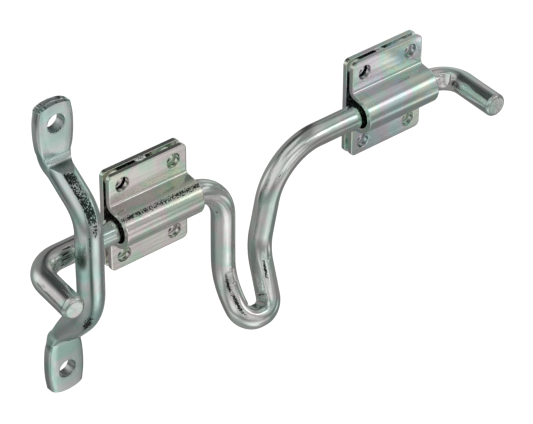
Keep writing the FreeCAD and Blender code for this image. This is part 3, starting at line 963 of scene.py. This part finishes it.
# %% [markdown]
# ## Bright zinc
#
# Zinc plate is a layer of metal about 8 thousandths of a millimetre thick, laid on the steel in a bath. It
# is as shiny as the steel under it, so it keeps the lines that the bar was drawn with, and the pits of the
# sheet. The clear passivation over it is so thin that it shows faint rainbow colours: pink, green, yellow
# and blue, in clouds some centimetres wide. The clouds are a soft noise that picks its tint from a ramp.
# The drawn lines are the same noise, stretched. Where scale is left, the metal is dark and rough.

# %% Zinc finish
MIX_A, MIX_B, MIX_OUT = 6, 7, 2           # sockets of a colour mix
CRUST = "#2C3531"                         # scale under thin zinc, a greenish black
# This dark green also paints dark reflections on the keeper, down the bow and on the facet below the top
# bend.
STAIN_AND_DARK_REFLECTION = "#3F5A4C"                         # thick passivation, where the bath ran off
CRUST_ROUGH = 0.45
CRUST_SHARE, CRUST_EDGE = 0.60, (0.98, 1.06)      # scale times the share, plus noise, makes crust
TINT_FROM, TINT_SPAN = 0.3, 0.4                   # of the cloud noise that the tints are spread over
LINE_FROM, DIM_TO, GLOSS_TO = 0.35, 0.6, 0.65     # of the line noise
LINE_DEPTH, PIT_MM = 0.05, 0.8


def zinc_plate(name, tints, cloud_mm, line_mm, line_way, rough, dimmest, wave_mm, crust_mm, place=None):
    """tints are evenly spaced along the cloud noise. line_way scales space so that the drawn lines come
    out long, and dimmest is how dark the darkest of them is. rough is the roughness between the lines and
    in them. wave_mm is the size and the depth of the soft waves in the surface, and crust_mm the size of
    the grains of scale. place is the attribute that says where on the bar a point is."""
    mat = bpy.data.materials.new(name)
    tree = empty_tree(mat)
    if place:
        where = add(tree, "Attribute", attribute_name=place).outputs["Vector"]
    else:
        where = add(tree, "TexCoord").outputs["Object"]
    tint = add(tree, "ValToRGB", {"Fac": noise_map(tree, where, cloud_mm, 3.0)})
    ramp_stops = tint.color_ramp.elements
    ramp_stops[0].position, ramp_stops[1].position = TINT_FROM, TINT_FROM + TINT_SPAN
    for i in range(1, len(tints) - 1):
        ramp_stops.new(TINT_FROM + TINT_SPAN * i / (len(tints) - 1))
    for stop, colour in zip(ramp_stops, tints):
        stop.color = tone(colour)
    drawn = add(tree, "Mapping", {"Vector": where, "Scale": line_way})
    lines = noise_map(tree, drawn.outputs[0], line_mm, 3.0)
    dim = add(tree, "MapRange", {"Value": lines, "From Min": LINE_FROM, "From Max": DIM_TO,
                                 "To Min": dimmest, "To Max": 1.0})
    lined = add(tree, "Mix", {0: 1.0, MIX_A: tint.outputs[0], MIX_B: dim.outputs[0]},
                data_type="RGBA", blend_type="MULTIPLY")
    gloss = add(tree, "MapRange", {"Value": lines, "From Min": LINE_FROM, "From Max": GLOSS_TO,
                                   "To Min": rough[1], "To Max": rough[0]})
    left = add(tree, "Attribute", attribute_name="scale").outputs["Fac"]
    ragged = noise_map(tree, where, crust_mm, 4.0)
    edge = add(tree, "Math", {0: left, 1: CRUST_SHARE, 2: ragged}, operation="MULTIPLY_ADD")
    crust = add(tree, "MapRange", {"Value": edge.outputs[0], "From Min": CRUST_EDGE[0],
                                   "From Max": CRUST_EDGE[1]})
    # This attribute holds thick passivation, and on the keeper also painted dark reflections, down the bow
    # and on the facet below the top bend.
    stain_and_dark_reflection = add(tree, "Attribute", attribute_name="stain_and_dark_reflection").outputs["Fac"]
    stain_and_reflection_mixed = add(tree, "Mix", {0: stain_and_dark_reflection, MIX_A: lined.outputs[MIX_OUT], MIX_B: tone(STAIN_AND_DARK_REFLECTION)},
                  data_type="RGBA")
    colour = add(tree, "Mix", {0: crust.outputs[0], MIX_A: stain_and_reflection_mixed.outputs[MIX_OUT], MIX_B: tone(CRUST)},
                 data_type="RGBA")
    duller = add(tree, "Math", {0: crust.outputs[0], 1: left}, operation="MAXIMUM")
    dull = add(tree, "Mix", {"Factor": duller.outputs[0], "A": gloss.outputs[0], "B": CRUST_ROUGH})
    waved = add(tree, "Bump", {"Height": noise_map(tree, where, wave_mm[0], 1.0),
                               "Distance": wave_mm[1] * MM, "Strength": 1.0})
    height = add(tree, "Math", {0: lines, 1: noise_map(tree, where, PIT_MM, 3.0)}, operation="ADD")
    bump = add(tree, "Bump", {"Height": height.outputs[0], "Distance": LINE_DEPTH * MM, "Strength": 0.5,
                              "Normal": waved.outputs[0]})
    metal = add(tree, "BsdfPrincipled",
                {"Base Color": colour.outputs[MIX_OUT], "Metallic": 1.0, "Roughness": dull.outputs[0],
                 "Normal": bump.outputs[0]})
    add(tree, "OutputMaterial", {"Surface": metal.outputs[0]})
    return mat


# %% [markdown]
# The bolt was drawn, so its lines run along the bar. The keeper was forged, so its lines are coarser and its
# surface is duller. The two brackets hung in different places in the bath: the left one came out yellowish,
# the right one bluish.

# %% Finishes
bolt_zinc = zinc_plate("bright zinc on drawn bar",
                       ("#D8ECE2", "#EAF2EC", "#EAE4E4", "#D6ECE4", "#EEF6F2"),
                       22, 1.1, (1, 1, 0.05), (0.11, 0.20), 0.84, (9, 0.10), 0.6, place="run")
keeper_zinc = zinc_plate("bright zinc on forged bar",
                         ("#B4DCD2", "#C8E2DC", "#D8DADA", "#B8DCD0", "#CEE2DE"),
                         18, 2.2, (1, 1, 0.15), (0.15, 0.25), 0.90, (8, 0.10), 0.7, place="run")
left_zinc = zinc_plate("bright zinc on pressed sheet, yellowish",
                       ("#DEF0E0", "#EEEEE6", "#F0E4E4", "#D6EEDC", "#EEF0DE", "#E8E6DA"),
                       20, 1.4, (0.06, 1, 1), (0.13, 0.20), 0.92, (10, 0.06), 0.6)
right_zinc = zinc_plate("bright zinc on pressed sheet, bluish",
                        ("#D4F2EC", "#E2F0F4", "#ECE2E8", "#D2F2E6", "#ECF0E0", "#D6EEF4"),
                        20, 1.4, (0.06, 1, 1), (0.16, 0.24), 0.92, (10, 0.06), 0.6)
weld_zinc = zinc_plate("bright zinc on weld", ("#E6ECE8", "#F2F2EE"),
                       3, 1.0, (1, 1, 1), (0.22, 0.34), 0.9, (2, 0.05), 0.7)

bolt_bar.data.materials.append(bolt_zinc)
keeper.data.materials.append(keeper_zinc)
for pieces in (straps, back_plates):
    pieces["left"].data.materials.append(left_zinc)
    pieces["right"].data.materials.append(right_zinc)
for bead in beads:
    bead.data.materials.append(weld_zinc)
print("finishes:", [m.name for m in (bolt_zinc, keeper_zinc, left_zinc, right_zinc, weld_zinc)])
